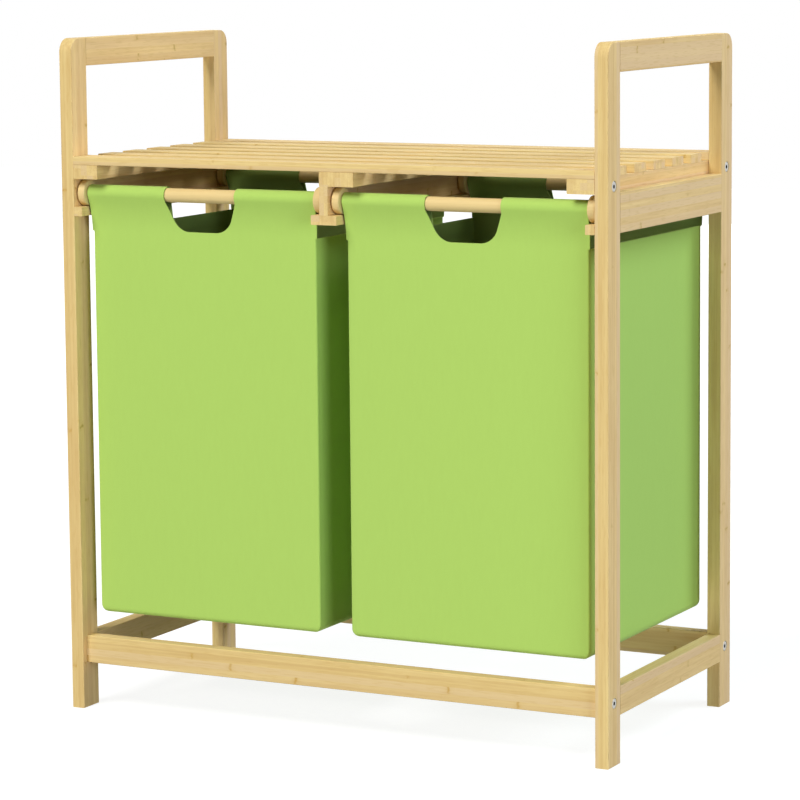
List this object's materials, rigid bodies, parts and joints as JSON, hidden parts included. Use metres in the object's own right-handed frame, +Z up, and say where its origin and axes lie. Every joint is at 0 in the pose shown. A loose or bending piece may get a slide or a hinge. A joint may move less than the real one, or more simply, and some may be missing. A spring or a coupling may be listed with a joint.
{
  "type": "laundry hamper with two bins",
  "caption": "Bamboo frame with a slatted top shelf and side hand rails, under which cloth laundry bags hang on roller rods and pull out to the front.",
  "frame": {"origin": "on the floor, under the middle of the frame's width and depth", "axes": "+X to the right along the hamper's width as seen from the front, +Y from the front to the back, +Z up"},
  "size_m": [0.64, 0.33, 0.73],
  "materials": {
    "bamboo": "natural laminated bamboo, sanded and satin lacquered",
    "turned_wood": "turned bamboo, sanded smooth",
    "bag_cloth": "light green woven polyester with sewn hems",
    "base_board": "cloth-covered stiffening board",
    "bolt_steel": "zinc-plated socket-head bolt"
  },
  "bodies": {
    "frame": {"left_front_post": "bamboo", "left_rear_post": "bamboo", "left_hand_rail": "bamboo", "left_upper_rail": "bamboo", "left_lower_rail": "bamboo", "right_front_post": "bamboo", "right_rear_post": "bamboo", "right_hand_rail": "bamboo", "right_upper_rail": "bamboo", "right_lower_rail": "bamboo", "front_tie_rail": "bamboo", "rear_tie_rail": "bamboo", "left_bearer": "bamboo", "centre_bearer": "bamboo", "right_bearer": "bamboo", "shelf_slat_1": "bamboo", "shelf_slat_2": "bamboo", "shelf_slat_3": "bamboo", "shelf_slat_4": "bamboo", "shelf_slat_5": "bamboo", "shelf_slat_6": "bamboo", "shelf_slat_7": "bamboo", "left_runner": "bamboo", "right_runner": "bamboo", "centre_runner_web": "bamboo", "centre_runner_flange": "bamboo", "left_front_upper_bolt": "bolt_steel", "left_front_lower_bolt": "bolt_steel", "left_rear_upper_bolt": "bolt_steel", "left_rear_lower_bolt": "bolt_steel", "right_front_upper_bolt": "bolt_steel", "right_front_lower_bolt": "bolt_steel", "right_rear_upper_bolt": "bolt_steel", "right_rear_lower_bolt": "bolt_steel"},
    "left_bag": {"left_bag_cloth": "bag_cloth", "left_bag_base_board": "base_board"},
    "right_bag": {"right_bag_cloth": "bag_cloth", "right_bag_base_board": "base_board"},
    "left_front_axle": {"left_bag_front_rod": "turned_wood", "left_bag_front_left_roller": "turned_wood", "left_bag_front_right_roller": "turned_wood"},
    "left_rear_axle": {"left_bag_rear_rod": "turned_wood", "left_bag_rear_left_roller": "turned_wood", "left_bag_rear_right_roller": "turned_wood"},
    "right_front_axle": {"right_bag_front_rod": "turned_wood", "right_bag_front_left_roller": "turned_wood", "right_bag_front_right_roller": "turned_wood"},
    "right_rear_axle": {"right_bag_rear_rod": "turned_wood", "right_bag_rear_left_roller": "turned_wood", "right_bag_rear_right_roller": "turned_wood"}
  },
  "joints": [
    {"name": "left_bag_slide", "type": "slide", "parent": "frame", "child": "left_bag", "axis": [0, -1, 0], "range_m": [0, 0.29]},
    {"name": "right_bag_slide", "type": "slide", "parent": "frame", "child": "right_bag", "axis": [0, -1, 0], "range_m": [0, 0.29]},
    {"name": "left_front_axle_roll", "type": "hinge", "parent": "left_bag", "child": "left_front_axle", "pos_m": [-0.155, -0.147, 0.5643], "axis": [1, 0, 0], "continuous": true},
    {"name": "left_rear_axle_roll", "type": "hinge", "parent": "left_bag", "child": "left_rear_axle", "pos_m": [-0.155, 0.147, 0.5643], "axis": [1, 0, 0], "continuous": true},
    {"name": "right_front_axle_roll", "type": "hinge", "parent": "right_bag", "child": "right_front_axle", "pos_m": [0.155, -0.147, 0.5643], "axis": [1, 0, 0], "continuous": true},
    {"name": "right_rear_axle_roll", "type": "hinge", "parent": "right_bag", "child": "right_rear_axle", "pos_m": [0.155, 0.147, 0.5643], "axis": [1, 0, 0], "continuous": true}
  ],
  "couplings": [
    {"joint": "left_front_axle_roll", "follows": "left_bag_slide", "rad_per_m": 71.429},
    {"joint": "left_rear_axle_roll", "follows": "left_bag_slide", "rad_per_m": 71.429},
    {"joint": "right_front_axle_roll", "follows": "right_bag_slide", "rad_per_m": 71.429},
    {"joint": "right_rear_axle_roll", "follows": "right_bag_slide", "rad_per_m": 71.429}
  ]
}
